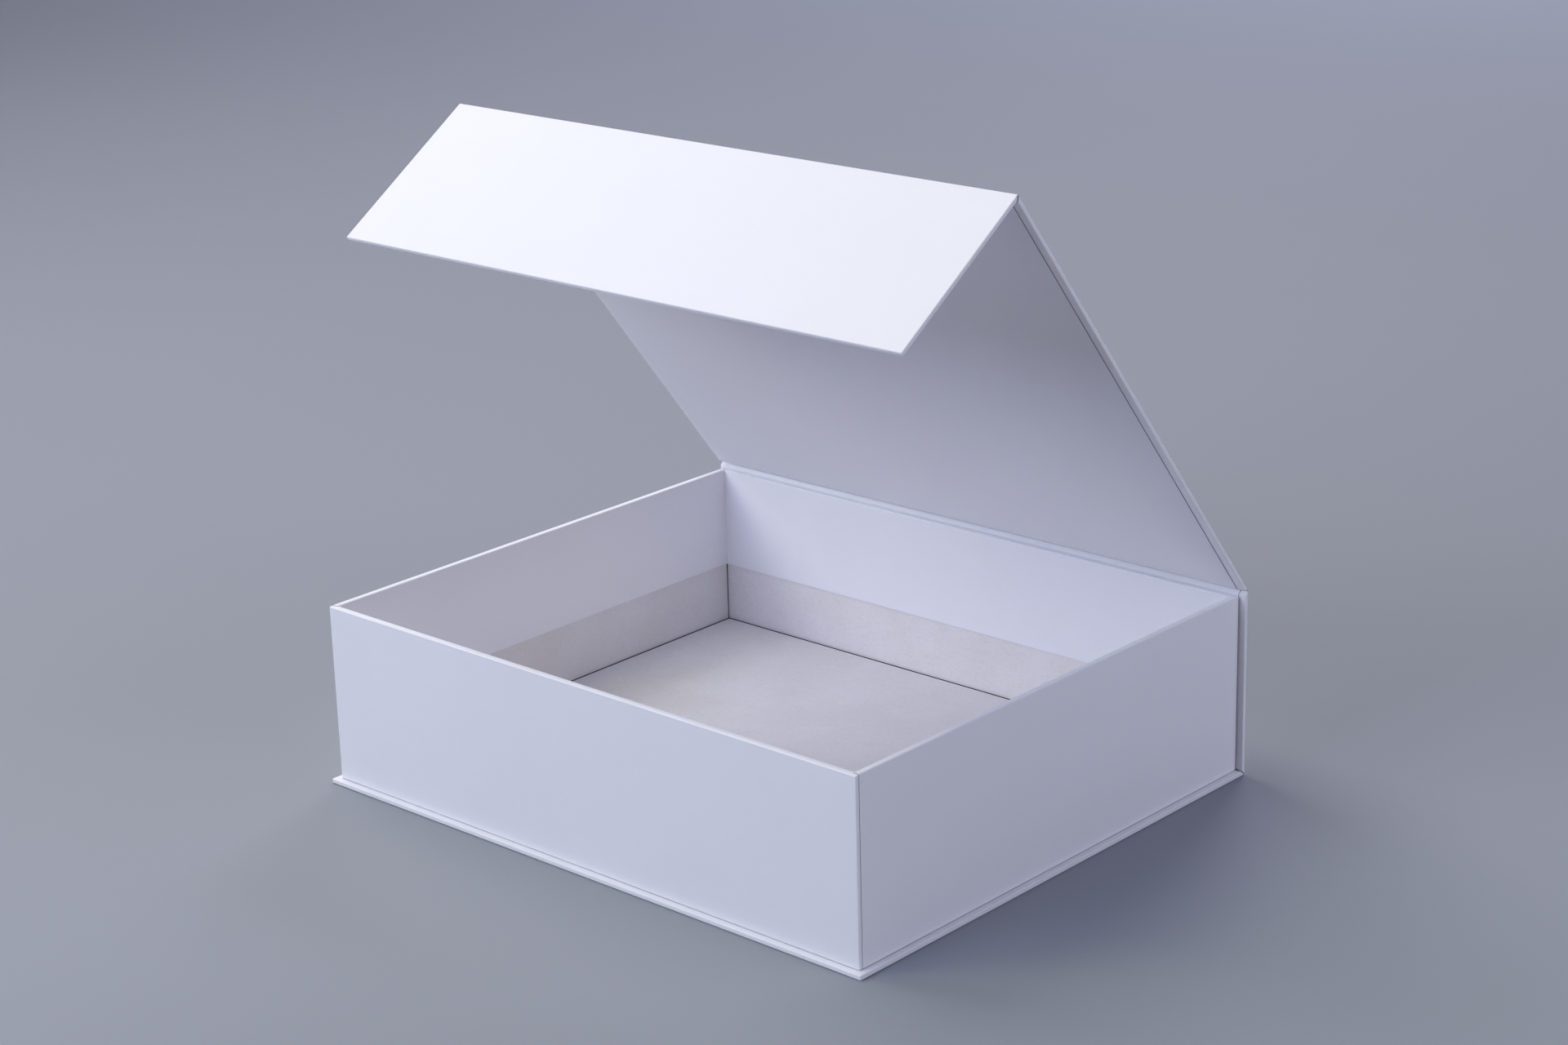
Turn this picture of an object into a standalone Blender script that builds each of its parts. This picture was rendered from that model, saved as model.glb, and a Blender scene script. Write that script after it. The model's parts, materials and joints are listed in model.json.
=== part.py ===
"""Magnetic flap gift box: a paper-wrapped case of four hinged panels round a shallow tray.

Metres, +Z up. The origin is the centre of the base panel's underside, -Y is the front and +X the
right-hand side. The lid and the flap are drawn closed in the frames of their hinge empties, and
the empties turn them open. Glued pieces keep a gap of GLUE between them.
"""

from math import radians

import bpy
from mathutils import Matrix, Vector

# Driving dimensions
TRAY_WIDTH = 0.300
TRAY_DEPTH = 0.250
TRAY_HEIGHT = 0.080
WALL_BOARD = 0.0020
FLOOR_BOARD = 0.0030
CASE_BOARD = 0.0012
PAPER = 0.0002
GLUE = 0.0003
LIP = 0.0030  # how far the case stands out past the tray at the front and the sides
TURN_IN = 0.0033  # the case wrap's border that shows round the liner
BASE_TURN_IN = 0.015
TRAY_TURN_DOWN = 0.048  # how far the tray wrap comes down inside the walls
TRAY_TURN_UNDER = 0.015
WALL_JOINT = 0.0006  # the open joint between two wall boards at a corner of the tray
FLOOR_JOINT = 0.0010  # the open joint all round the floor board
STAY_LEG = 0.020
STAY_PAPER = 0.0001
MAGNET_RADIUS = 0.005
MAGNET_THICKNESS = 0.0010
DISC_RADIUS = 0.006
DISC_THICKNESS = 0.0015
MAGNET_X = 0.075
MAGNET_HEIGHT = 0.026
LID_OPEN = radians(51.9)
FLAP_OPEN = radians(4.2)

# Worked out from them
SKIN = PAPER + GLUE
CASE_PANEL = CASE_BOARD + 2 * SKIN
TRAY_WALL = WALL_BOARD + 2 * SKIN
CASE_WIDTH = TRAY_WIDTH + 2 * LIP
CASE_DEPTH = LIP + TRAY_DEPTH + GLUE + CASE_PANEL
REAR = CASE_DEPTH / 2
TRAY_Y = -REAR + LIP + TRAY_DEPTH / 2
TRAY_BOTTOM = CASE_PANEL + GLUE
TRAY_RIM = TRAY_BOTTOM + TRAY_HEIGHT
CASE_HEIGHT = TRAY_RIM + GLUE + CASE_PANEL
FLAP_LENGTH = CASE_HEIGHT - CASE_PANEL - GLUE
MITRE_GAP = GLUE / 2  # each panel's own share of the gap at a closed crease
PAST = 0.010  # how far a cutter runs past what it cuts

parts = bpy.data.collections.new("magnetic_flap_gift_box")
cutters = bpy.data.collections.new("cutters")


def clear_scene():
    """Start from an empty scene with the two collections linked."""
    for obj in list(bpy.data.objects):
        bpy.data.objects.remove(obj, do_unlink=True)
    for collection in (parts, cutters):
        bpy.context.scene.collection.children.link(collection)


def finish(name, colour, roughness, metallic=0.0):
    """A Principled material."""
    material = bpy.data.materials.new(name)
    material.use_nodes = True
    shader = material.node_tree.nodes["Principled BSDF"]
    shader.inputs["Base Color"].default_value = (*colour, 1.0)
    shader.inputs["Roughness"].default_value = roughness
    shader.inputs["Metallic"].default_value = metallic
    return material


def adopt(obj, name, material, parent=None):
    """Name a new primitive, and move it into the parts, or the cutters if it has no material."""
    obj.name = name
    obj.data.name = name
    for collection in list(obj.users_collection):
        collection.objects.unlink(obj)
    if material is None:
        cutters.objects.link(obj)
        obj.hide_render = True
        obj.display_type = "WIRE"
    else:
        parts.objects.link(obj)
        obj.data.materials.append(material)
    obj.parent = parent
    return obj


def slab(name, low, high, material=None, parent=None):
    """A box between two corners, given in its parent's frame."""
    low, high = Vector(low), Vector(high)
    bpy.ops.mesh.primitive_cube_add(size=1.0)
    obj = bpy.context.object
    obj.data.transform(Matrix.Diagonal((*(high - low), 1.0)))
    obj.location = (low + high) / 2
    return adopt(obj, name, material, parent)


def disc(name, centre, radius, thickness, material=None, parent=None):
    """A short round bar along Y."""
    bpy.ops.mesh.primitive_cylinder_add(vertices=32, radius=radius, depth=thickness)
    obj = bpy.context.object
    obj.data.transform(Matrix.Rotation(radians(90), 4, "X"))
    if material is not None:
        obj.data.shade_smooth()
        obj.data.set_sharp_from_angle(angle=radians(40))
    obj.location = centre
    return adopt(obj, name, material, parent)


def boolean(obj, tool, operation="DIFFERENCE"):
    """Cut a tool from an object, or join it on."""
    modifier = obj.modifiers.new(tool.name, "BOOLEAN")
    modifier.operation = operation
    modifier.solver = "EXACT"
    modifier.object = tool
    return obj


def mitre(name, edge, inward, offset, parent=None):
    """A cutter that trims a panel's end at 45 degrees, offset in from a crease's outer edge.

    edge is the crease's (y, z) in the parent's frame, and inward the diagonal (y, z) direction
    from the mitre plane into the panel.
    """
    size = 2 * PAST
    normal = Vector((0.0, *inward)).normalized()
    low, high = (-CASE_WIDTH, -size / 2, -size / 2), (CASE_WIDTH, size / 2, size / 2)
    tool = slab(name, low, high, parent=parent)
    tool.rotation_euler = (radians(45), 0.0, 0.0)
    tool.location = Vector((0.0, *edge)) + normal * (offset - size / 2)
    return tool


def across(half_width, low_yz, high_yz):
    """The two corners of a box that is centred on X."""
    return (-half_width, *low_yz), (half_width, *high_yz)


class Panel:
    """One board of the case with its wrap and liner.

    corners are the panel's low and high (y, z) in the parent's frame. outer is the direction that
    its outer face looks, and free the direction of its free end, or None. creases are
    (edge, inward) pairs for mitre().
    """

    def __init__(self, name, corners, outer, free, creases, parent=None):
        self.name = name
        self.low, self.high = Vector(corners[0]), Vector(corners[1])
        self.outer, self.free = Vector(outer), Vector(free or (0.0, 0.0))
        self.creases = creases
        self.parent = parent

    def box(self, name, half_width, outer_inset, inner_inset, free_inset, past, material=None):
        """A layer of the panel, inset from its outer, inner and free faces, run past its creases."""
        low, high = self.low.copy(), self.high.copy()
        for i in range(2):
            for direction, inset in (
                (self.outer, outer_inset),
                (-self.outer, inner_inset),
                (self.free, free_inset),
            ):
                if direction[i] > 0:
                    high[i] -= inset
                elif direction[i] < 0:
                    low[i] += inset
            if self.outer[i] == 0:
                low[i] -= 0.0 if self.free[i] < 0 else past
                high[i] += 0.0 if self.free[i] > 0 else past
        ends = across(half_width, low, high)
        return slab(f"{self.name}_{name}", *ends, material, self.parent)

    def trim(self, obj, offset):
        """Mitre both ends of a layer at its creases."""
        for i, (edge, inward) in enumerate(self.creases):
            tool = mitre(f"{obj.name}_mitre_{i}", edge, inward, offset, self.parent)
            boolean(obj, tool)
        return obj

    def board(self, material):
        """The bare board inside the paper."""
        obj = self.box("board", CASE_WIDTH / 2 - SKIN, SKIN, SKIN, SKIN, 0.0, material)
        return self.trim(obj, MITRE_GAP + SKIN)

    def wrap(self, material, turn_in):
        """The outer sheet: over the outer face, round the free edges, and turned in."""
        half = CASE_WIDTH / 2
        sheet = self.box("sheet", half, 0.0, 0.0, 0.0, 0.0, material)
        sheet.name = f"case_wrap_{self.name}"
        boolean(sheet, self.box("wrap_room", half - PAPER, PAPER, PAPER, PAPER, PAST))
        window = self.box("wrap_window", half - turn_in, 2 * PAPER, -PAST, turn_in, PAST)
        boolean(sheet, window)
        return self.trim(sheet, MITRE_GAP)

    def liner(self, material):
        """The inner sheet: over the inner face and down into the groove of each crease."""
        half = CASE_WIDTH / 2 - TURN_IN - GLUE
        free = TURN_IN + GLUE
        sheet = self.box("lining", half, SKIN, 0.0, free, 0.0, material)
        sheet.name = f"case_liner_{self.name}"
        room = self.box("liner_room", CASE_WIDTH, -PAST, PAPER, free - PAST, PAST)
        boolean(sheet, self.trim(room, MITRE_GAP + PAPER))
        return self.trim(sheet, MITRE_GAP)


def hinge(name, location, opening, parent=None):
    """An empty on a crease's outer edge: turning it about -X opens what hangs on it."""
    empty = bpy.data.objects.new(name, None)
    parts.objects.link(empty)
    empty.empty_display_size = 0.02
    empty.location = location
    empty.rotation_euler = (-opening, 0.0, 0.0)
    empty.parent = parent
    return empty


def make_case(white, lining, greyboard):
    """Base and spine, fixed, and lid and flap on their hinges. Returns the flap's board and its hinge."""
    lid_hinge = hinge("lid_hinge", (0.0, REAR, CASE_HEIGHT), LID_OPEN)
    flap_hinge = hinge("flap_hinge", (0.0, -CASE_DEPTH, 0.0), FLAP_OPEN, lid_hinge)
    t = CASE_PANEL
    base = Panel(
        "base",
        ((-REAR, 0.0), (REAR, t)),
        outer=(0, -1),
        free=(-1, 0),
        creases=[((REAR, 0.0), (-1, -1))],
    )
    spine = Panel(
        "spine",
        ((REAR - t, 0.0), (REAR, CASE_HEIGHT)),
        outer=(1, 0),
        free=None,
        creases=[((REAR, 0.0), (1, 1)), ((REAR, CASE_HEIGHT), (1, -1))],
    )
    lid = Panel(
        "lid",
        ((-CASE_DEPTH, -t), (0.0, 0.0)),
        outer=(0, 1),
        free=None,
        creases=[((0.0, 0.0), (-1, 1)), ((-CASE_DEPTH, 0.0), (1, 1))],
        parent=lid_hinge,
    )
    flap = Panel(
        "flap",
        ((0.0, -FLAP_LENGTH), (t, 0.0)),
        outer=(-1, 0),
        free=(0, -1),
        creases=[((0.0, 0.0), (-1, -1))],
        parent=flap_hinge,
    )
    boards = {}
    for panel in (base, spine, lid, flap):
        boards[panel.name] = panel.board(greyboard)
        panel.wrap(white, BASE_TURN_IN if panel is base else TURN_IN)
        if panel is not base:
            panel.liner(lining)
    return boards["flap"], flap_hinge


def make_tray_boards(greyboard):
    """Four walls round a floor board. Returns the front wall."""
    x = TRAY_WIDTH / 2 - SKIN
    y = TRAY_DEPTH / 2 - SKIN
    low, high = TRAY_BOTTOM + SKIN, TRAY_RIM - SKIN
    t = WALL_BOARD
    walls = {}
    for name, side in (("front", -1), ("back", 1)):
        ends = sorted((TRAY_Y + side * y, TRAY_Y + side * (y - t)))
        walls[name] = slab(
            f"tray_{name}_board", *across(x, (ends[0], low), (ends[1], high)), greyboard
        )
    for name, side in (("left", -1), ("right", 1)):
        ends = sorted((side * x, side * (x - t)))
        reach = y - t - WALL_JOINT
        slab(
            f"tray_{name}_board",
            (ends[0], TRAY_Y - reach, low),
            (ends[1], TRAY_Y + reach, high),
            greyboard,
        )
    reach_x = x - t - FLOOR_JOINT
    reach_y = y - t - FLOOR_JOINT
    slab(
        "tray_floor_board",
        (-reach_x, TRAY_Y - reach_y, low),
        (reach_x, TRAY_Y + reach_y, low + FLOOR_BOARD),
        greyboard,
    )
    return walls["front"]


def tray_block(name, inset, low, high, material=None):
    """A block inset by the same amount from all four sides of the tray."""
    x = TRAY_WIDTH / 2 - inset
    y = TRAY_DEPTH / 2 - inset
    return slab(name, (-x, TRAY_Y - y, low), (x, TRAY_Y + y, high), material)


def make_tray_wrap(white):
    """One sheet: under the edge, up the walls, over the rim and down inside."""
    sheet = tray_block("tray_wrap", 0.0, TRAY_BOTTOM, TRAY_RIM, white)
    turn_down = TRAY_RIM - TRAY_TURN_DOWN
    boolean(sheet, tray_block("tray_room", PAPER, TRAY_BOTTOM + PAPER, TRAY_RIM - PAPER))
    inside = tray_block("tray_inner_skin", TRAY_WALL - PAPER, turn_down, TRAY_RIM)
    boolean(sheet, inside, "UNION")
    boolean(sheet, tray_block("tray_mouth", TRAY_WALL, turn_down - PAST, TRAY_RIM + PAST))
    below = tray_block(
        "tray_underside", TRAY_TURN_UNDER, TRAY_BOTTOM - PAST, TRAY_BOTTOM + 2 * PAPER
    )
    boolean(sheet, below)


def make_corner_stays(kraft):
    """Four strips of gummed paper, each folded round one corner of the tray's boards."""
    inset = SKIN - (GLUE - STAY_PAPER) / 2 - STAY_PAPER
    low, high = TRAY_BOTTOM + 2 * SKIN, TRAY_RIM - 2 * SKIN
    for depth_name, y_side in (("front", -1), ("back", 1)):
        for side_name, x_side in (("left", -1), ("right", 1)):
            name = f"corner_stay_{depth_name}_{side_name}"
            x = TRAY_WIDTH / 2 - inset
            y = TRAY_DEPTH / 2 - inset
            xs = sorted((x_side * x, x_side * (x - STAY_LEG)))
            ys = sorted((TRAY_Y + y_side * y, TRAY_Y + y_side * (y - STAY_LEG)))
            stay = slab(name, (xs[0], ys[0], low), (xs[1], ys[1], high), kraft)
            xs = sorted((x_side * (x - STAY_PAPER), x_side * (x - STAY_LEG - PAST)))
            ys = sorted(
                (TRAY_Y + y_side * (y - STAY_PAPER), TRAY_Y + y_side * (y - STAY_LEG - PAST))
            )
            room = slab(f"{name}_room", (xs[0], ys[0], low - PAST), (xs[1], ys[1], high + PAST))
            boolean(stay, room)


def make_closures(flap_board, flap_hinge, front_wall, magnet, steel):
    """Magnets in the flap board and steel discs in the tray's front wall, opposite each other."""
    flap_y = CASE_PANEL / 2
    flap_z = MAGNET_HEIGHT - CASE_HEIGHT
    wall_y = TRAY_Y - TRAY_DEPTH / 2 + TRAY_WALL / 2
    for name, side in (("left", -1), ("right", 1)):
        x = side * MAGNET_X
        place = (x, flap_y, flap_z)
        disc(f"flap_magnet_{name}", place, MAGNET_RADIUS, MAGNET_THICKNESS, magnet, flap_hinge)
        hole = disc(
            f"flap_hole_{name}", place, MAGNET_RADIUS + GLUE, CASE_PANEL, parent=flap_hinge
        )
        boolean(flap_board, hole)
        place = (x, wall_y, MAGNET_HEIGHT)
        disc(f"front_wall_disc_{name}", place, DISC_RADIUS, DISC_THICKNESS, steel)
        hole = disc(f"wall_hole_{name}", place, DISC_RADIUS + GLUE, TRAY_WALL)
        boolean(front_wall, hole)


def main():
    clear_scene()
    white = finish("white_wrap_paper", (0.86, 0.87, 0.92), 0.55)
    lining = finish("white_liner_paper", (0.84, 0.85, 0.90), 0.65)
    greyboard = finish("bare_board", (0.79, 0.77, 0.79), 0.9)
    kraft = finish("stay_paper", (0.50, 0.36, 0.22), 0.85)
    magnet = finish("nickelled_magnet", (0.62, 0.62, 0.60), 0.3, 1.0)
    steel = finish("steel_disc", (0.55, 0.56, 0.58), 0.4, 1.0)
    flap_board, flap_hinge = make_case(white, lining, greyboard)
    front_wall = make_tray_boards(greyboard)
    make_tray_wrap(white)
    make_corner_stays(kraft)
    make_closures(flap_board, flap_hinge, front_wall, magnet, steel)
    bpy.context.view_layer.update()


main()
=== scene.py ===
"""The looks of the magnetic flap gift box: its papers, boards, floor, light and camera.

Metres, +Z up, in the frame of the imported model. The case's outer wrap, its liner and the tray's
wrap are rebuilt as thin sheets with rounded folds; the boards, magnets, steel discs and corner
stays are the model's own parts with better materials.
"""

import json
from math import cos, pi, radians, sin, sqrt, tan

import bmesh
import bpy
from mathutils import Matrix, Vector


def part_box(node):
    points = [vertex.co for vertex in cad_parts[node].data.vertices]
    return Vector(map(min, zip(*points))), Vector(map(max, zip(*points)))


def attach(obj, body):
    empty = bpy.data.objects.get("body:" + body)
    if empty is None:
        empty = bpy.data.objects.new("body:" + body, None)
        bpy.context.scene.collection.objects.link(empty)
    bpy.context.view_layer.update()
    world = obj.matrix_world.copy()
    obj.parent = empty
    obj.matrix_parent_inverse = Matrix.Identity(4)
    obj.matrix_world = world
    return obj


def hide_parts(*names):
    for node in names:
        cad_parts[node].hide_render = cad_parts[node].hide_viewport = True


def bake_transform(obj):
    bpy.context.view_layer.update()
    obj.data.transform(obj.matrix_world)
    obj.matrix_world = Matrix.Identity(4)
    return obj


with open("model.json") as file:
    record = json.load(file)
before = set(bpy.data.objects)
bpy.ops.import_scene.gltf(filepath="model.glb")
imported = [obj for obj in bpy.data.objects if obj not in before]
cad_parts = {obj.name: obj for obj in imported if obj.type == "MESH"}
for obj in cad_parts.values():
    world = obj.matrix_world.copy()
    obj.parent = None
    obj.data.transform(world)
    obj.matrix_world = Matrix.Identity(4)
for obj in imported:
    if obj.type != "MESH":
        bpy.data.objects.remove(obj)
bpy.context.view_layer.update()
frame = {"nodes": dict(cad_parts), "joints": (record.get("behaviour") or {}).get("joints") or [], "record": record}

MM = 0.001

# Papers and folds
PAPER = 0.15 * MM  # the case wrap's thickness
EDGE_ROUND = 0.45 * MM  # a wrapped edge of the case
RIM_ROUND = 0.60 * MM  # a wrapped edge of the tray
CORNER_ROUND = 0.50 * MM  # a wrapped corner, seen from above the panel
SHARP = 0.02 * MM  # the least radius that a corner gets
ARC_STEPS = 5  # segments in a quarter turn
GROOVE_STEPS = 6  # segments across the bottom of a crease
WELD = 0.002 * MM  # points nearer than this are one
SLIVER = 0.001 * MM  # edges shorter than this go
SHARP_FOLD = radians(32)  # a fold that turns by more than this is shaded as an edge
CREASE = 0.45 * MM  # how far from a crease's outer edge the paper starts to turn
FOLD_DEPTH = 0.14 * MM  # the wrap's edge runs on into the fold down to this depth
WRAP_MITRE = 0.42 * MM  # a mitred face's distance from the crease's middle plane
LINER_MITRE = 0.15 * MM  # the same for the liner's
TURN_IN = 15.0 * MM  # the wrap's border under the liner
LINER_INSET = 3.6 * MM  # from a panel's edge to the liner's
LINER_STEP = 0.27 * MM  # how far the liner stands proud of the border that it lies on
LINER_LIFT = 0.01 * MM  # the gap between the two
BASE_STEP = 0.08 * MM  # how far the base's border lies below its panel's face
GROOVE_DEPTH = 0.45 * MM  # the liner's depth at the bottom of a crease
LIP_ROUND = 0.15 * MM  # the liner's bends start this far from a corner of its path

# The tray's sheets
SEAM_INSET = 1.9 * MM  # from a corner to the edge of the side sheet that laps it
LAP = 0.17 * MM  # the sheets' thickness, by which the side sheets' rims lie over the others
TAB_SLOPE = 0.24  # the tabs lean in as they run back from the corner to the seam
TAB_DEPTH = 0.29 * MM  # and then lie this deep under the side sheets
TURN_DOWN = 48.0 * MM  # from the rim down the inside to a sheet's edge
FOOT = 0.12 * MM  # how far the sheets reach down into the glued joint under the tray

# Boards and metal
WORN_EDGES = {"greyboard": 0.15 * MM, "magnet": 0.10 * MM, "steel_disc": 0.10 * MM}
WORN_EDGE_STEPS = 2
WORN_EDGE_ANGLE = radians(40)
JOINT_MARGIN = 0.03 * MM  # faces this near an open joint count as in it
PAINTED_JOINT_SHADE = (0.05, 0.05, 0.06)  # painted shade: how much of each colour is left on the board faces in an open joint
FAR = 1.0  # further than any face of the box

# Stage and light: azimuths are degrees round from the front to the right
FLOOR_RADIUS = 9.0
FLOOR_SEGMENTS = 96
FLOOR_DROP = 0.20 * MM  # under the base, so that a thin contact shadow shows
FLOOR_TONE = (0.302, 0.317, 0.358)
LIGHT_AIM = Vector((0.0, 0.0, 0.1))
SOFTBOXES = (  # name, azimuth, elevation, distance, size, watts, colour
    ("key_softbox", -35, 30, 2.2, 0.8, 14.2, (0.96, 1.0, 0.94)),
    ("front_softbox", -8, 26, 2.2, 0.8, 17.8, (0.68, 0.73, 1.0)),
    ("left_softbox", -90, 45, 2.0, 1.2, 13.2, (0.81, 0.77, 1.0)),
    ("top_left_softbox", -90, 70, 2.0, 1.2, 13.0, (1.0, 1.0, 0.69)),
    ("right_softbox", 90, 20, 2.2, 1.2, 11.0, (0.95, 0.93, 1.0)),
    ("rear_right_softbox", 120, 35, 2.4, 1.4, 11.4, (0.58, 0.65, 1.0)),
)
FAR_FLOOR = Vector((-1.5, 3.3, 0.0))  # the patch of floor behind the box that one light is over
FAR_FLOOR_HEIGHT = 2.2
FAR_FLOOR_SIZE = 1.8
FAR_FLOOR_WATTS = 88.0
FAR_FLOOR_COLOUR = (0.80, 0.82, 1.0)
WORLD_COLOUR = (0.85, 0.90, 1.0)
WORLD_STRENGTH = 0.02

# Camera
CAMERA_AZIMUTH, CAMERA_ELEVATION = 42.48, 18.47
CAMERA_ROLL = radians(-1.55)
CAMERA_TARGET = Vector((0.00288, 0.00025, 0.118575))
CAMERA_DISTANCE = 1.3695
SENSOR_WIDTH = 36.0  # mm
FOCAL_LENGTH = 74.06  # mm

# Materials
MIX_FACTOR, MIX_FIRST, MIX_SECOND, MIX_RESULT = 0, 6, 7, 2  # a colour mix node's sockets
NOISE_LOW, NOISE_HIGH = 0.3, 0.7  # most of a noise's values are between these


# ---------------------------------------------------------------- sizes from the frame

def joint(name):
    """A joint of the record by its name."""
    return next(j for j in frame["joints"] if j["name"] == name)


BASE_LOW, BASE_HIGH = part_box("case_wrap_base")
PANEL = BASE_HIGH.z  # a wrapped panel's thickness
HALF_WIDTH = BASE_HIGH.x
LID_AXIS = Vector(joint("lid_hinge")["pos_m"])
FLAP_AXIS = Vector(joint("flap_hinge")["pos_m"])
LID_OPEN = radians(-joint("lid_hinge")["range_deg"][0])
FLAP_OPEN = radians(-joint("flap_hinge")["range_deg"][0])
REAR, CASE_HEIGHT = LID_AXIS.y, LID_AXIS.z
CASE_DEPTH = REAR - BASE_LOW.y
TRAY_LOW, TRAY_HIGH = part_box("tray_wrap")


class Panel:
    """A flat board: x across, u along from its crease, and w in from its outer face."""

    def __init__(self, origin, along, inward, length):
        self.origin = Vector((0.0, *origin))
        self.along = Vector((0.0, *along))
        self.inward = Vector((0.0, *inward))
        self.length = length

    def at(self, x, u, w):
        return Vector((x, 0.0, 0.0)) + self.origin + u * self.along + w * self.inward


def case_panels():
    """Base, spine, lid and flap as they stand at rest."""
    lean = LID_OPEN + FLAP_OPEN
    drop = FLAP_AXIS.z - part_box("case_wrap_flap")[0].z
    flap_length = (drop - PANEL * sin(lean)) / cos(lean)
    return {
        "base": Panel((REAR, 0.0), (-1, 0), (0, 1), CASE_DEPTH),
        "spine": Panel((REAR, 0.0), (0, 1), (-1, 0), CASE_HEIGHT),
        "lid": Panel(
            (REAR, CASE_HEIGHT),
            (-cos(LID_OPEN), sin(LID_OPEN)),
            (-sin(LID_OPEN), -cos(LID_OPEN)),
            CASE_DEPTH,
        ),
        "flap": Panel(
            (FLAP_AXIS.y, FLAP_AXIS.z),
            (-sin(lean), -cos(lean)),
            (cos(lean), -sin(lean)),
            flap_length,
        ),
    }


# ---------------------------------------------------------------- mesh helpers

def quarter():
    """Angles through a quarter turn."""
    return [i / ARC_STEPS * pi / 2 for i in range(ARC_STEPS + 1)]


def skin(bm, rows):
    """Quads between rows of points."""
    made = [[bm.verts.new(p) for p in row] for row in rows]
    for first, second in zip(made, made[1:]):
        for i in range(len(first) - 1):
            bm.faces.new((first[i], first[i + 1], second[i + 1], second[i]))


def patch(bm, points):
    """One flat face."""
    bm.faces.new([bm.verts.new(p) for p in points])


def soften(points, reach):
    """A path whose inner corners are rounded, starting that far from each corner."""
    path = [points[0]]
    for before, corner, after in zip(points, points[1:], points[2:]):
        start = corner + (before - corner).normalized() * reach
        end = corner + (after - corner).normalized() * reach
        for i in range(ARC_STEPS + 1):
            t = i / ARC_STEPS
            path.append(start * (1 - t) ** 2 + corner * 2 * t * (1 - t) + end * t**2)
    return path + [points[-1]]


def paper_piece(name, bm, outward, materials, thickness=PAPER):
    """A finished object from a sheet's outer surface: welded, thickened inward and smooth.

    outward is a (point, direction) pair: the face nearest the point looks that way.
    """
    bmesh.ops.remove_doubles(bm, verts=bm.verts, dist=WELD)
    bmesh.ops.dissolve_degenerate(bm, edges=bm.edges, dist=SLIVER)
    bmesh.ops.recalc_face_normals(bm, faces=bm.faces)
    near = min(bm.faces, key=lambda f: (f.calc_center_bounds() - outward[0]).length)
    if near.normal.dot(outward[1]) < 0:
        bmesh.ops.reverse_faces(bm, faces=bm.faces)
    mesh = bpy.data.meshes.new(name)
    bm.to_mesh(mesh)
    bm.free()
    piece = bpy.data.objects.new(name, mesh)
    bpy.context.scene.collection.objects.link(piece)
    for material in materials:
        mesh.materials.append(material)
    solid = piece.modifiers.new("thickness", "SOLIDIFY")
    solid.thickness = thickness
    solid.offset = -1.0
    solid.use_even_offset = True
    # the rim faces, the sheets' cut edges, get the second material, which is painted shade
    solid.material_offset_rim = 1
    settle(piece)
    piece.data.shade_smooth()
    piece.data.set_sharp_from_angle(angle=SHARP_FOLD)
    normals = piece.modifiers.new("flat_faces_stay_flat", "WEIGHTED_NORMAL")
    normals.keep_sharp = True
    return piece


def settle(piece):
    """Apply a piece's modifiers."""
    graph = bpy.context.evaluated_depsgraph_get()
    mesh = bpy.data.meshes.new_from_object(piece.evaluated_get(graph))
    piece.modifiers.clear()
    piece.data = mesh
    mesh.name = piece.name


# ---------------------------------------------------------------- the case's outer wrap

def wrapped_edge(depth, radius):
    """(inset, depth) points round a board's edge, from its outer face to its inner face."""
    outer = [(radius - radius * sin(q), radius - radius * cos(q)) for q in quarter()]
    inner = [(radius - radius * cos(q), depth - radius + radius * sin(q)) for q in quarter()]
    return outer + inner


def wrap_profile(step=LINER_STEP):
    """The case wrap's edge and the border that it turns in, that far below the panel's face."""
    depth = PANEL - step
    return wrapped_edge(depth, EDGE_ROUND) + [(TURN_IN, depth)]


def crease_stop(depth):
    """How far from a crease the wrap's edge stops: at the fold, or deeper down at the mitre."""
    return CREASE if depth <= FOLD_DEPTH else depth + WRAP_MITRE * sqrt(2)


def round_free_end(half, length, inset, end_inset, start):
    """(x, u) up a panel's right side from start, round its free end and down its left side."""
    radius = max(CORNER_ROUND - inset, SHARP)
    corner = (half - inset - radius, length - end_inset - radius)
    right = [(half - inset, start)]
    right += [(corner[0] + radius * cos(q), corner[1] + radius * sin(q)) for q in quarter()]
    return right + [(-x, u) for x, u in reversed(right)]


def add_end_panel(bm, panel, step=LINER_STEP):
    """The wrap of a panel with one crease and one free end."""
    rows = []
    for inset, depth in wrap_profile(step):
        track = round_free_end(HALF_WIDTH, panel.length, inset, inset, crease_stop(depth))
        rows.append([panel.at(x, u, depth) for x, u in track])
    skin(bm, rows)
    patch(bm, rows[0])
    add_mitre_caps(bm, panel, 0.0, 1, step)


def add_middle_panel(bm, panel):
    """The wrap of a panel with a crease at both ends."""
    sides = []
    for side in (1, -1):
        rows = []
        for inset, depth in wrap_profile():
            x, stop = side * (HALF_WIDTH - inset), crease_stop(depth)
            rows.append([panel.at(x, stop, depth), panel.at(x, panel.length - stop, depth)])
        skin(bm, rows)
        sides.append(rows[0])
    patch(bm, sides[0] + sides[1][::-1])
    add_mitre_caps(bm, panel, 0.0, 1)
    add_mitre_caps(bm, panel, panel.length, -1)


def add_mitre_caps(bm, panel, end, direction, step=LINER_STEP):
    """The turned-in border where it goes down a panel's mitred end, left and right."""
    def place(side, inset, depth):
        along = end + direction * (depth + WRAP_MITRE * sqrt(2))
        return panel.at(side * (HALF_WIDTH - inset), along, depth)

    rim = [(inset, depth) for inset, depth in wrap_profile(step) if depth > FOLD_DEPTH]
    for side in (1, -1):
        points = [place(side, inset, depth) for inset, depth in rim]
        points += [place(side, TURN_IN, PAPER), place(side, PAPER, PAPER)]
        patch(bm, points)


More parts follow.
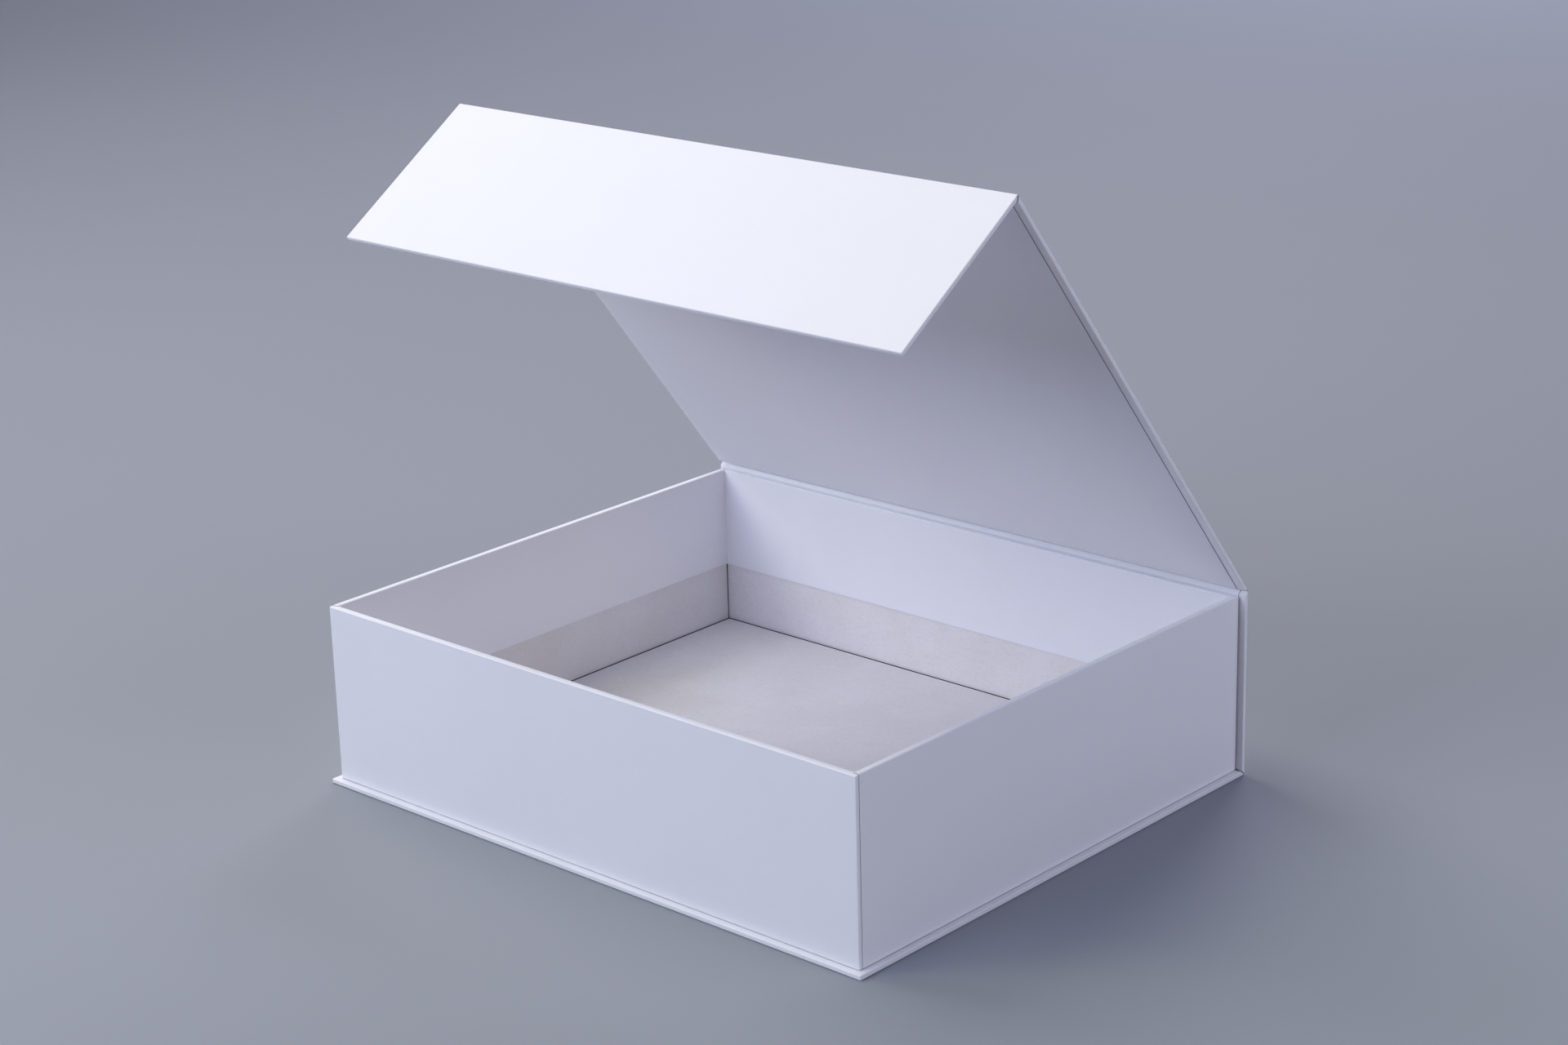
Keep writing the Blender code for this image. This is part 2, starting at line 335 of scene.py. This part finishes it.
def add_fold(bm, first, first_end, second):
    """The wrap round the outer edge of a crease, from an end of one panel to the next one's start."""
    turn = first.inward.angle(second.inward)
    radius = CREASE / tan(turn / 2)
    stop = CREASE if first_end == 0.0 else first_end - CREASE
    centre = first.at(0.0, stop, radius)
    shallow = [(inset, depth) for inset, depth in wrap_profile() if depth <= FOLD_DEPTH]
    right = [(HALF_WIDTH - inset, depth) for inset, depth in reversed(shallow)]
    columns = right + [(-x, depth) for x, depth in reversed(right)]
    steps = 2 * ARC_STEPS
    rows = []
    for i in range(steps + 1):
        inward = first.inward.slerp(second.inward, i / steps)
        rows.append(
            [centre + Vector((x, 0, 0)) - (radius - depth) * inward for x, depth in columns]
        )
    skin(bm, rows)


def make_case_wrap(panels, materials):
    """One sheet, in three pieces that meet where they can't be seen to."""
    base, spine, lid, flap = (panels[n] for n in ("base", "spine", "lid", "flap"))
    bm = bmesh.new()
    add_end_panel(bm, base, step=BASE_STEP)
    add_fold(bm, base, 0.0, spine)
    add_middle_panel(bm, spine)
    outward = (spine.at(0, spine.length / 2, 0), -spine.inward)
    back = paper_piece("case_wrap_base_and_spine_paper", bm, outward, materials)
    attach(back, "tray_and_base")
    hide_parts("case_wrap_base", "case_wrap_spine")

    bm = bmesh.new()
    add_fold(bm, spine, spine.length, lid)
    add_middle_panel(bm, lid)
    outward = (lid.at(0, lid.length / 2, 0), -lid.inward)
    top = paper_piece("case_wrap_lid_paper", bm, outward, materials)
    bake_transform(top)
    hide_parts("case_wrap_lid")

    bm = bmesh.new()
    add_fold(bm, lid, lid.length, flap)
    add_end_panel(bm, flap)
    outward = (flap.at(0, flap.length / 2, 0), -flap.inward)
    front = paper_piece("case_wrap_flap_paper", bm, outward, materials)
    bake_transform(front)
    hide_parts("case_wrap_flap")


# ---------------------------------------------------------------- the case's liner

def ribbon(bm, path, half):
    """A sheet that runs along a path, as wide as the liner."""
    across = Vector((half, 0.0, 0.0))
    skin(bm, [[point - across, point + across] for point in path])


def liner_end(panel, end, direction, depth):
    """A point of the liner's path on a panel's mitred end."""
    return panel.at(0.0, end + direction * (depth + LINER_MITRE * sqrt(2)), depth)


def liner_path(panel, free_end=None):
    """The liner over one panel: up its first mitred end, along it, and down its other end.

    With free_end, it stops that far from the panel's free edge instead.
    """
    path = [liner_end(panel, 0.0, 1, GROOVE_DEPTH), liner_end(panel, 0.0, 1, PANEL)]
    if free_end is None:
        path += [
            liner_end(panel, panel.length, -1, PANEL),
            liner_end(panel, panel.length, -1, GROOVE_DEPTH),
        ]
    else:
        path.append(panel.at(0.0, panel.length - free_end, PANEL))
    return soften(path, LIP_ROUND)


def groove(first, second):
    """The bottom of a crease, from one mitred end to the other."""
    a = liner_end(first, first.length, -1, GROOVE_DEPTH)
    b = liner_end(second, 0.0, 1, GROOVE_DEPTH)
    return [a.lerp(b, i / GROOVE_STEPS) for i in range(GROOVE_STEPS)]


def make_liner(panels, materials):
    """The inner sheet, in three pieces that meet in the creases."""
    spine, lid, flap = (panels[n] for n in ("spine", "lid", "flap"))
    half = HALF_WIDTH - LINER_INSET
    paths = {
        "spine": liner_path(spine),
        "lid": groove(spine, lid) + liner_path(lid),
        "flap": groove(lid, flap) + liner_path(flap, free_end=LINER_INSET),
    }
    for name, path in paths.items():
        panel = panels[name]
        bm = bmesh.new()
        ribbon(bm, path, half)
        outward = (panel.at(0, panel.length / 2, PANEL), panel.inward)
        piece = paper_piece(
            f"case_liner_{name}_paper", bm, outward, materials, thickness=LINER_STEP - LINER_LIFT
        )
        if name == "spine":
            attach(piece, "tray_and_base")
        elif name == "lid":
            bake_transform(piece)
        else:
            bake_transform(piece)
        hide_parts(f"case_liner_{name}")


# ---------------------------------------------------------------- the tray's wrap

def wall_thickness():
    """The tray's wrapped wall, out to in, from its front wall's board and what covers it."""
    board_low, board_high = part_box("tray_front_board")
    return board_high.y - TRAY_LOW.y + (board_low.y - TRAY_LOW.y)


def add_outer_face(bm, wall, half, thickness):
    """The outer face of a front or back sheet, with a tab round each corner and its rim's top.

    Returns its last row of points, along the rim.
    """
    rows = []
    for inset, depth in wrapped_edge(thickness, RIM_ROUND):
        if depth <= thickness - RIM_ROUND:
            tab = min(TAB_SLOPE * (depth - RIM_ROUND), TAB_DEPTH)
            track = round_free_end(half, wall.length, max(inset, tab), inset, 0.0)
            rows.append([wall.at(x, u, depth) for x, u in track])
    skin(bm, rows)
    patch(bm, rows[0])
    return rows[-1][1:-1]


def add_inner_face(bm, wall, half, thickness, rim):
    """The part that goes on from the rim's top down inside, tucked into the wall boards' joints."""
    tucked = half - thickness + RIM_ROUND / 2
    rows = [rim]
    falls = wrapped_edge(thickness, RIM_ROUND)[ARC_STEPS + 2:]
    for inset, depth in falls + [(TURN_DOWN, thickness)]:
        track = round_free_end(tucked, wall.length, 0.0, inset, 0.0)[1:-1]
        rows.append([wall.at(x, u, depth) for x, u in track])
    skin(bm, rows)


def make_end_sheet(name, wall, half, thickness, materials):
    """The sheet on the front or back wall: its tabs go round the corners under the side sheets."""
    bm = bmesh.new()
    rim = add_outer_face(bm, wall, half, thickness)
    add_inner_face(bm, wall, half, thickness, rim)
    outward = (wall.at(0, wall.length / 2, 0), -wall.inward)
    return paper_piece(name, bm, outward, materials, thickness=LAP)


def make_side_sheet(name, side, thickness, materials):
    """The sheet on the left or right wall, over the rim and down inside, lapping the tabs."""
    outer = TRAY_HIGH.x
    inner = outer - thickness
    top, bottom = TRAY_HIGH.z, TRAY_LOW.z - FOOT
    profile = [(outer, bottom)]
    profile += [(outer - depth, top - drop) for drop, depth in wrapped_edge(thickness, RIM_ROUND)]
    profile.append((inner, top - TURN_DOWN))
    rows = []
    for x, z in profile:
        inset = SEAM_INSET if x > inner + RIM_ROUND / 2 else thickness
        ends = (TRAY_LOW.y + inset, TRAY_HIGH.y - inset)
        rows.append([Vector((side * x, y, z)) for y in ends])
    bm = bmesh.new()
    skin(bm, rows)
    middle = (TRAY_LOW.y + TRAY_HIGH.y) / 2
    outward = (Vector((side * outer, middle, (top + bottom) / 2)), Vector((side, 0, 0)))
    return paper_piece(name, bm, outward, materials, thickness=LAP)


def make_tray_wrap(materials):
    """One sheet on the real box, seen as four: front and back with tabs, and two sides over them."""
    thickness = wall_thickness()
    bottom = TRAY_LOW.z - FOOT
    height = TRAY_HIGH.z - bottom
    half = TRAY_HIGH.x
    front = Panel((TRAY_LOW.y, bottom), (0, 1), (1, 0), height - LAP)
    back = Panel((TRAY_HIGH.y, bottom), (0, 1), (-1, 0), height - LAP)
    sheets = [
        make_end_sheet("tray_wrap_front_paper", front, half, thickness, materials),
        make_end_sheet("tray_wrap_back_paper", back, half, thickness, materials),
        make_side_sheet("tray_wrap_left_paper", -1, thickness, materials),
        make_side_sheet("tray_wrap_right_paper", 1, thickness, materials),
    ]
    for sheet in sheets:
        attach(sheet, "tray_and_base")
    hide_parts("tray_wrap")


# ---------------------------------------------------------------- materials

class Nodes:
    """A short way to wire a material's nodes."""

    def __init__(self, name):
        self.material = bpy.data.materials.new(name)
        self.material.use_nodes = True
        self.tree = self.material.node_tree
        self.shader = self.tree.nodes["Principled BSDF"]
        self.place = self.tree.nodes.new("ShaderNodeTexCoord").outputs["Object"]

    def add(self, kind, **settings):
        """A new node, with inputs or settings given by name."""
        node = self.tree.nodes.new(kind)
        for key, value in settings.items():
            if key in node.inputs:
                node.inputs[key].default_value = value
            else:
                setattr(node, key, value)
        return node

    def link(self, output, target):
        self.tree.links.new(output, target)

    def stretched(self, scale):
        """The object's coordinates, scaled by an amount for each axis."""
        node = self.add("ShaderNodeMapping", Scale=scale)
        self.link(self.place, node.inputs["Vector"])
        return node.outputs["Vector"]

    def noise(self, scale, detail=4.0, roughness=0.55, place=None):
        """A noise over the object's coordinates, or over another place."""
        node = self.add("ShaderNodeTexNoise", Scale=scale, Detail=detail, Roughness=roughness)
        self.link(place or self.place, node.inputs["Vector"])
        return node.outputs["Fac"]

    def ramp(self, value, stops):
        """Colours or greys by value: stops are (position, colour) pairs."""
        node = self.add("ShaderNodeValToRGB")
        elements = node.color_ramp.elements
        while len(elements) < len(stops):
            elements.new(0.5)
        for element, (position, colour) in zip(elements, stops):
            element.position = position
            element.color = (*colour, 1.0)
        self.link(value, node.inputs["Fac"])
        return node.outputs["Color"]

    def math(self, operation, first, second):
        """Math on an output and another output or a number."""
        node = self.add("ShaderNodeMath", operation=operation)
        self.link(first, node.inputs[0])
        if isinstance(second, float):
            node.inputs[1].default_value = second
        else:
            self.link(second, node.inputs[1])
        return node.outputs["Value"]

    def multiply(self, first, second):
        """Two colours multiplied."""
        node = self.add("ShaderNodeMix", data_type="RGBA", blend_type="MULTIPLY")
        node.inputs[MIX_FACTOR].default_value = 1.0
        self.link(first, node.inputs[MIX_FIRST])
        self.link(second, node.inputs[MIX_SECOND])
        return node.outputs[MIX_RESULT]

    def range(self, value, low, high):
        """A noise spread over the values from low to high."""
        node = self.add("ShaderNodeMapRange")
        node.inputs["From Min"].default_value = NOISE_LOW
        node.inputs["From Max"].default_value = NOISE_HIGH
        node.inputs["To Min"].default_value = low
        node.inputs["To Max"].default_value = high
        self.link(value, node.inputs["Value"])
        return node.outputs["Result"]

    def bump(self, height, distance, strength=1.0, normal=None):
        """A surface normal from a height, on top of another normal if there is one."""
        node = self.add("ShaderNodeBump", Strength=strength, Distance=distance)
        self.link(height, node.inputs["Height"])
        if normal is not None:
            self.link(normal, node.inputs["Normal"])
        return node.outputs["Normal"]


def shade(colour, amount):
    """A colour made darker or lighter."""
    return tuple(channel * amount for channel in colour)


def paper_material(name, colour, roughness):
    """Matte art paper: faint cloudiness, short fibres, and a slight tooth."""
    n = Nodes(name)
    cloud = n.noise(14.0, detail=3.0)
    fibre = n.noise(2600.0, detail=5.0, roughness=0.65)
    tone = n.ramp(cloud, [(0.35, shade(colour, 0.985)), (0.65, colour)])
    fleck = n.ramp(fibre, [(0.30, (0.975,) * 3), (0.62, (1.0,) * 3)])
    n.link(n.multiply(tone, fleck), n.shader.inputs["Base Color"])
    n.link(n.range(fibre, roughness - 0.05, roughness + 0.07), n.shader.inputs["Roughness"])
    tooth = n.bump(fibre, 0.010 * MM, 0.5)
    n.link(n.bump(n.noise(60.0, detail=2.0), 0.04 * MM, 0.35, tooth), n.shader.inputs["Normal"])
    n.shader.inputs["IOR"].default_value = 1.45
    return n.material


def paper_edge_painted_shade_material(name, colour):
    """The cut edge of the paper, with the layers of its fibres, painted near black as the shade in the narrow gaps
    at the sheets' seams and at the liner's edge.
    """
    n = Nodes(name)
    layers = n.noise(3000.0, detail=4.0)
    # painted shade: the edge's colour is 7 to 16 percent of the paper's
    stops = [(0.3, shade(colour, 0.07)), (0.7, shade(colour, 0.16))]
    n.link(n.ramp(layers, stops), n.shader.inputs["Base Color"])
    n.link(n.bump(layers, 0.02 * MM), n.shader.inputs["Normal"])
    n.shader.inputs["Roughness"].default_value = 0.9
    return n.material


def outside_box(n, centre, half, floor):
    """1 where the surface is further than half from centre in x or y, or is below floor, else 0."""
    away = n.add("ShaderNodeVectorMath", operation="SUBTRACT")
    away.inputs[1].default_value = centre
    n.link(n.place, away.inputs[0])
    size = n.add("ShaderNodeVectorMath", operation="ABSOLUTE")
    n.link(away.outputs["Vector"], size.inputs[0])
    over = n.add("ShaderNodeVectorMath", operation="SUBTRACT")
    over.inputs[1].default_value = half
    n.link(size.outputs["Vector"], over.inputs[0])
    axes = n.add("ShaderNodeSeparateXYZ")
    n.link(over.outputs["Vector"], axes.inputs["Vector"])
    height = n.add("ShaderNodeSeparateXYZ")
    n.link(n.place, height.inputs["Vector"])
    below = n.math("LESS_THAN", height.outputs["Z"], floor)
    wide = n.math("MAXIMUM", axes.outputs["X"], axes.outputs["Y"])
    return n.math("MAXIMUM", n.math("GREATER_THAN", wide, 0.0), below)


def board_material(name, colour, unshaded_box=None):
    """Uncoated board: a felted surface with warm and cool patches and a few short fibres.

    unshaded_box is (centre, half, floor): the board keeps its own colour within half of centre in x
    and y and above floor. Past that, on its cut edges and its faces in the open joints, it gets painted shade.
    """
    n = Nodes(name)
    patches = n.noise(32.0, detail=4.0)
    felt = n.noise(900.0, detail=6.0, roughness=0.7)
    strands = n.noise(260.0, detail=5.0, place=n.stretched((1.0, 6.0, 6.0)))
    warm = (colour[0], colour[1] * 0.985, colour[2] * 0.975)
    tone = n.ramp(patches, [(0.35, shade(warm, 0.96)), (0.65, colour)])
    fleck = n.ramp(felt, [(0.28, (0.90,) * 3), (0.50, (0.985,) * 3), (0.8, (1.0,) * 3)])
    strand = n.ramp(strands, [(0.30, (0.94,) * 3), (0.45, (1.0,) * 3)])
    surface = n.multiply(n.multiply(tone, fleck), strand)
    if unshaded_box is not None:
        # painted shade: near black on the cut edges and on the faces in the open joints
        joint_shade_ramp = n.ramp(outside_box(n, *unshaded_box), [(0.2, (1.0,) * 3), (0.8, PAINTED_JOINT_SHADE)])
        surface = n.multiply(surface, joint_shade_ramp)
    n.link(surface, n.shader.inputs["Base Color"])
    n.link(n.range(felt, 0.85, 0.97), n.shader.inputs["Roughness"])
    n.link(n.bump(felt, 0.03 * MM, 0.8), n.shader.inputs["Normal"])
    n.shader.inputs["Specular IOR Level"].default_value = 0.3
    return n.material


def kraft_material(name, colour):
    """Brown gummed paper with long fibres."""
    n = Nodes(name)
    strands = n.noise(400.0, detail=6.0, place=n.stretched((1.0, 1.0, 5.0)))
    stops = [(0.3, shade(colour, 0.78)), (0.5, colour), (0.75, shade(colour, 1.08))]
    n.link(n.ramp(strands, stops), n.shader.inputs["Base Color"])
    n.link(n.bump(strands, 0.02 * MM), n.shader.inputs["Normal"])
    n.link(n.range(strands, 0.72, 0.88), n.shader.inputs["Roughness"])
    return n.material


def metal_material(name, colour, roughness, grain):
    """Plated metal with a fine lay of scratches; grain is the scratches' stretch for each axis."""
    n = Nodes(name)
    scratches = n.noise(500.0, detail=5.0, place=n.stretched(grain))
    tarnish = n.noise(180.0, detail=3.0)
    tone = n.ramp(tarnish, [(0.3, shade(colour, 0.86)), (0.7, colour)])
    n.link(tone, n.shader.inputs["Base Color"])
    n.link(n.range(scratches, roughness * 0.7, roughness * 1.3), n.shader.inputs["Roughness"])
    n.link(n.bump(scratches, 0.01 * MM, 0.6), n.shader.inputs["Normal"])
    n.shader.inputs["Metallic"].default_value = 1.0
    return n.material


def record_colour(slot):
    """A material slot's colour in the record."""
    entry = next(m for m in frame["record"]["materials"] if m["slot"] == slot)
    return tuple(entry["base_color"][:3])


def tray_board_materials(colour):
    """The wall boards' and the floor board's materials, with painted shade in the open joints between them."""
    floor_low, floor_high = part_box("tray_floor_board")
    centre = (floor_low + floor_high) / 2
    wall_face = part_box("tray_right_board")[0].x + JOINT_MARGIN
    walls = (centre, (wall_face, FAR, FAR), floor_high.z - JOINT_MARGIN)
    half = (floor_high - floor_low) / 2 - Vector((JOINT_MARGIN, JOINT_MARGIN, 0.0))
    return (
        board_material("wall_board", colour, walls),
        board_material("floor_board", colour, (centre, half, 0.0)),
    )


def dress_cad_nodes(board, kraft, magnet, steel):
    """Materials, and softened edges, on the parts that stay as the model has them."""
    walls, floor = tray_board_materials(record_colour("greyboard"))
    finishes = {"greyboard": board, "stay_paper": kraft, "magnet": magnet, "steel_disc": steel}
    for row in frame["record"]["subparts"]:
        slot, node = row["material_slot"], frame["nodes"][row["node"]]
        if slot not in finishes:
            continue
        node.data.materials.clear()
        finish = finishes[slot]
        if row["node"].startswith("tray_"):
            finish = floor if "floor" in row["node"] else walls
        node.data.materials.append(finish)
        if slot in WORN_EDGES:
            bevel = node.modifiers.new("worn_edges", "BEVEL")
            bevel.width = WORN_EDGES[slot]
            bevel.segments = WORN_EDGE_STEPS
            bevel.limit_method = "ANGLE"
            bevel.angle_limit = WORN_EDGE_ANGLE


# ---------------------------------------------------------------- stage, light and camera

def make_floor():
    """A wide pale floor."""
    n = Nodes("pale_floor")
    cloud = n.noise(2.0, detail=3.0)
    tone = n.ramp(cloud, [(0.3, shade(FLOOR_TONE, 0.98)), (0.7, FLOOR_TONE)])
    n.link(tone, n.shader.inputs["Base Color"])
    n.shader.inputs["Roughness"].default_value = 0.75
    bm = bmesh.new()
    bmesh.ops.create_circle(bm, cap_ends=True, segments=FLOOR_SEGMENTS, radius=FLOOR_RADIUS)
    mesh = bpy.data.meshes.new("floor")
    bm.to_mesh(mesh)
    bm.free()
    mesh.materials.append(n.material)
    floor = bpy.data.objects.new("floor", mesh)
    floor.location.z = -FLOOR_DROP
    bpy.context.scene.collection.objects.link(floor)


def toward(azimuth, elevation):
    """The direction at an azimuth round from the front to the right, and an elevation."""
    turn, rise = radians(azimuth), radians(elevation)
    return Vector((sin(turn) * cos(rise), -cos(turn) * cos(rise), sin(rise)))


def make_softbox(name, place, aim, size, watts, colour):
    """A square area light aimed at a point."""
    data = bpy.data.lights.new(name, "AREA")
    data.shape = "SQUARE"
    data.size = size
    data.energy = watts
    data.color = colour
    light = bpy.data.objects.new(name, data)
    light.location = place
    light.rotation_euler = (place - aim).to_track_quat("Z", "Y").to_euler()
    bpy.context.scene.collection.objects.link(light)


def make_light():
    """A key from the front left with wide fills round the box, and one light on the far floor."""
    for name, azimuth, elevation, distance, size, watts, colour in SOFTBOXES:
        place = LIGHT_AIM + distance * toward(azimuth, elevation)
        make_softbox(name, place, LIGHT_AIM, size, watts, colour)
    above = FAR_FLOOR + Vector((0.0, 0.0, FAR_FLOOR_HEIGHT))
    lamp = (FAR_FLOOR_SIZE, FAR_FLOOR_WATTS, FAR_FLOOR_COLOUR)
    make_softbox("far_floor_softbox", above, FAR_FLOOR, *lamp)
    world = bpy.data.worlds.new("pale_studio")
    world.use_nodes = True
    background = world.node_tree.nodes["Background"]
    background.inputs["Color"].default_value = (*WORLD_COLOUR, 1.0)
    background.inputs["Strength"].default_value = WORLD_STRENGTH
    bpy.context.scene.world = world


def make_camera():
    """Raised and to the right of the front, with the slight tilt of a hand-held frame."""
    back = toward(CAMERA_AZIMUTH, CAMERA_ELEVATION)
    place = Matrix.Translation(CAMERA_TARGET + back * CAMERA_DISTANCE)
    turn = back.to_track_quat("Z", "Y").to_matrix() @ Matrix.Rotation(CAMERA_ROLL, 3, "Z")
    data = bpy.data.cameras.new("camera")
    data.sensor_width = SENSOR_WIDTH
    data.lens = FOCAL_LENGTH
    camera = bpy.data.objects.new("camera", data)
    camera.matrix_world = place @ turn.to_4x4()
    bpy.context.scene.collection.objects.link(camera)
    bpy.context.scene.camera = camera


def main():
    """The papers, the model's own parts, and what they stand on and are lit by."""
    panels = case_panels()
    white, lining = record_colour("case_wrap"), record_colour("case_liner")
    # the sheets' cut edges: painted shade, near black, for the dark lines at the seams and steps
    edge = paper_edge_painted_shade_material("cut_paper_edge_painted_shade", white)
    outer = paper_material("white_wrap_paper", white, roughness=0.55)
    inner = paper_material("white_liner_paper", lining, roughness=0.62)
    make_case_wrap(panels, (outer, edge))
    make_liner(panels, (inner, edge))
    make_tray_wrap((outer, edge))
    dress_cad_nodes(
        board_material("bare_board", record_colour("greyboard")),
        kraft_material("gummed_kraft", record_colour("stay_paper")),
        metal_material(
            "nickel_plate", record_colour("magnet"), roughness=0.28, grain=(1.0, 1.0, 1.0)
        ),
        metal_material(
            "zinc_plated_steel", record_colour("steel_disc"), roughness=0.38, grain=(1.0, 1.0, 14.0)
        ),
    )
    make_floor()
    make_light()
    make_camera()
    bpy.context.scene.view_settings.view_transform = "Standard"


main()
